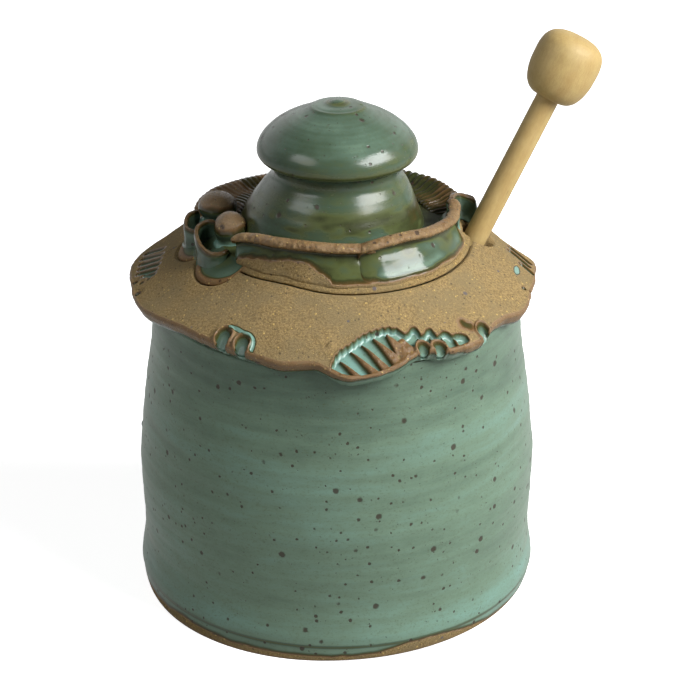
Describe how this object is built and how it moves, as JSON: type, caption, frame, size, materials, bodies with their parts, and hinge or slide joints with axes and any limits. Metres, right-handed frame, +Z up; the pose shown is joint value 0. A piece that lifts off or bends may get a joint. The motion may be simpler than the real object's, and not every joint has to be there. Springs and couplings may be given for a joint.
{
  "type": "honey pot",
  "caption": "Stoneware honey pot with a sloping slab collar, a keyed lift-off lid with a mushroom knob, and a wooden dipper that stands in a hole at the lid's edge.",
  "frame": {"origin": "centre of the flat foot, on the surface that the pot stands on", "axes": "+Z up along the pot's axis, -Y towards the front with the large pressed leaf, +X towards the side where the dipper comes out"},
  "size_m": [0.1281, 0.1109, 0.1561],
  "materials": {
    "sage_glaze": "satin sage-green glaze with iron speckles",
    "dark_glaze": "glossy dark green glaze breaking brown on the edges",
    "raw_clay": "unglazed brown stoneware with pale grog",
    "pale_wood": "smooth unvarnished birch"
  },
  "bodies": {
    "pot": {"pot_body": "sage_glaze", "collar": "raw_clay"},
    "lid": {"lid_plate": "raw_clay", "lid_knob": "sage_glaze", "front_left_strap": "dark_glaze", "front_right_strap": "dark_glaze", "back_left_strap": "dark_glaze", "back_right_strap": "dark_glaze", "dipper_cup": "dark_glaze", "front_curl": "dark_glaze", "back_curl": "dark_glaze", "large_bead": "dark_glaze", "small_bead": "dark_glaze"},
    "dipper": {"dipper_rod": "pale_wood", "dipper_grip": "pale_wood", "dipper_head": "pale_wood"}
  },
  "joints": [
    {"name": "lid_lift", "type": "slide", "parent": "pot", "child": "lid", "axis": [0, 0, 1], "range_m": [0, 0.12]},
    {"name": "dipper_draw", "type": "slide", "parent": "pot", "child": "dipper", "axis": [0.4538, 0.262, 0.8517], "range_m": [0, 0.055]}
  ]
}
